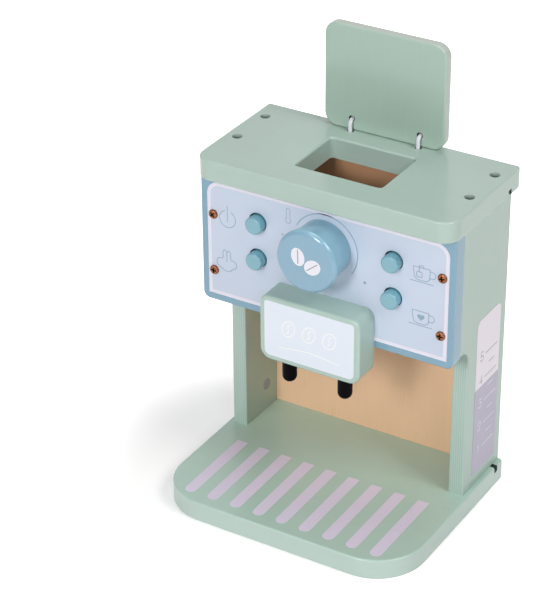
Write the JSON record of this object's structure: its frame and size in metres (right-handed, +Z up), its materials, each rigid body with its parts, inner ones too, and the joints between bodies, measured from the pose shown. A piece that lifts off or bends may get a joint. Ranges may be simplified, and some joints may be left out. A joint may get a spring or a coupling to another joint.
{
  "type": "toy coffee maker",
  "caption": "Wooden toy coffee maker with a cup bay, a spout block with nozzles, a turning knob, sprung push buttons and a cord-hung lid over a hatch in the top.",
  "frame": {"origin": "on the floor, under the middle of the whole toy's bounding box", "axes": "+Z up, -Y towards the front with the knob, +X to the right seen from the front"},
  "size_m": [0.19, 0.156, 0.3145],
  "materials": {
    "green_paint": "satin paint on wood, sage green",
    "blue_paint": "satin paint on wood, dusty blue",
    "knob_paint": "satin paint on turned wood, dusty blue",
    "teal_paint": "satin paint on turned wood, teal",
    "black_paint": "satin paint on turned wood, black",
    "plywood": "bare smooth plywood",
    "bare_dowel": "bare turned wood",
    "printed_sheet": "matte printed sheet, pale blue",
    "white_label": "matte printed label, off-white",
    "bronze_screws": "bronze plated",
    "steel": "bright zinc",
    "grey_plug": "matte grey",
    "elastic": "woven white elastic"
  },
  "bodies": {
    "housing": {"base_plate": "green_paint", "top_plate": "green_paint", "side_panel_left": "green_paint", "side_panel_right": "green_paint", "back_panel": "plywood", "head_floor": "plywood", "front_board": "blue_paint", "front_decal": "printed_sheet", "front_screws": "bronze_screws", "top_screws": "bronze_screws", "base_screws": "bronze_screws", "panel_plug": "grey_plug", "side_label": "white_label", "spout_block": "green_paint", "spout_label": "white_label", "spout_screws": "bronze_screws", "nozzle_left": "black_paint", "nozzle_right": "black_paint", "button_keeper_left": "plywood", "button_keeper_right": "plywood", "keeper_screws": "bronze_screws", "spring_upper_left": "steel", "spring_lower_left": "steel", "spring_upper_right": "steel", "spring_lower_right": "steel", "hinge_cord_left": "elastic", "hinge_cord_right": "elastic"},
    "knob": {"knob": "knob_paint", "knob_axle": "bare_dowel", "knob_washer": "steel", "knob_screw": "bronze_screws"},
    "lid": {"lid": "green_paint"},
    "button_upper_left": {"button_upper_left": "teal_paint"},
    "button_lower_left": {"button_lower_left": "teal_paint"},
    "button_upper_right": {"button_upper_right": "teal_paint"},
    "button_lower_right": {"button_lower_right": "teal_paint"}
  },
  "joints": [
    {"name": "lid_hinge", "type": "hinge", "parent": "housing", "child": "lid", "pos_m": [0, 0.0691, 0.2403], "axis": [1, 0, 0], "range_deg": [0, 90], "deforming": ["hinge_cord_left", "hinge_cord_right"]},
    {"name": "knob_turn", "type": "hinge", "parent": "housing", "child": "knob", "pos_m": [-0.0005, 0, 0.1954], "axis": [0, 1, 0], "continuous": true},
    {"name": "button_upper_left_push", "type": "slide", "parent": "housing", "child": "button_upper_left", "axis": [0, 1, 0], "range_m": [0, 0.003], "stiffness_N_per_m": 500, "springref_m": -0.002, "deforming": ["spring_upper_left"]},
    {"name": "button_lower_left_push", "type": "slide", "parent": "housing", "child": "button_lower_left", "axis": [0, 1, 0], "range_m": [0, 0.003], "stiffness_N_per_m": 500, "springref_m": -0.002, "deforming": ["spring_lower_left"]},
    {"name": "button_upper_right_push", "type": "slide", "parent": "housing", "child": "button_upper_right", "axis": [0, 1, 0], "range_m": [0, 0.003], "stiffness_N_per_m": 500, "springref_m": -0.002, "deforming": ["spring_upper_right"]},
    {"name": "button_lower_right_push", "type": "slide", "parent": "housing", "child": "button_lower_right", "axis": [0, 1, 0], "range_m": [0, 0.003], "stiffness_N_per_m": 500, "springref_m": -0.002, "deforming": ["spring_lower_right"]}
  ]
}
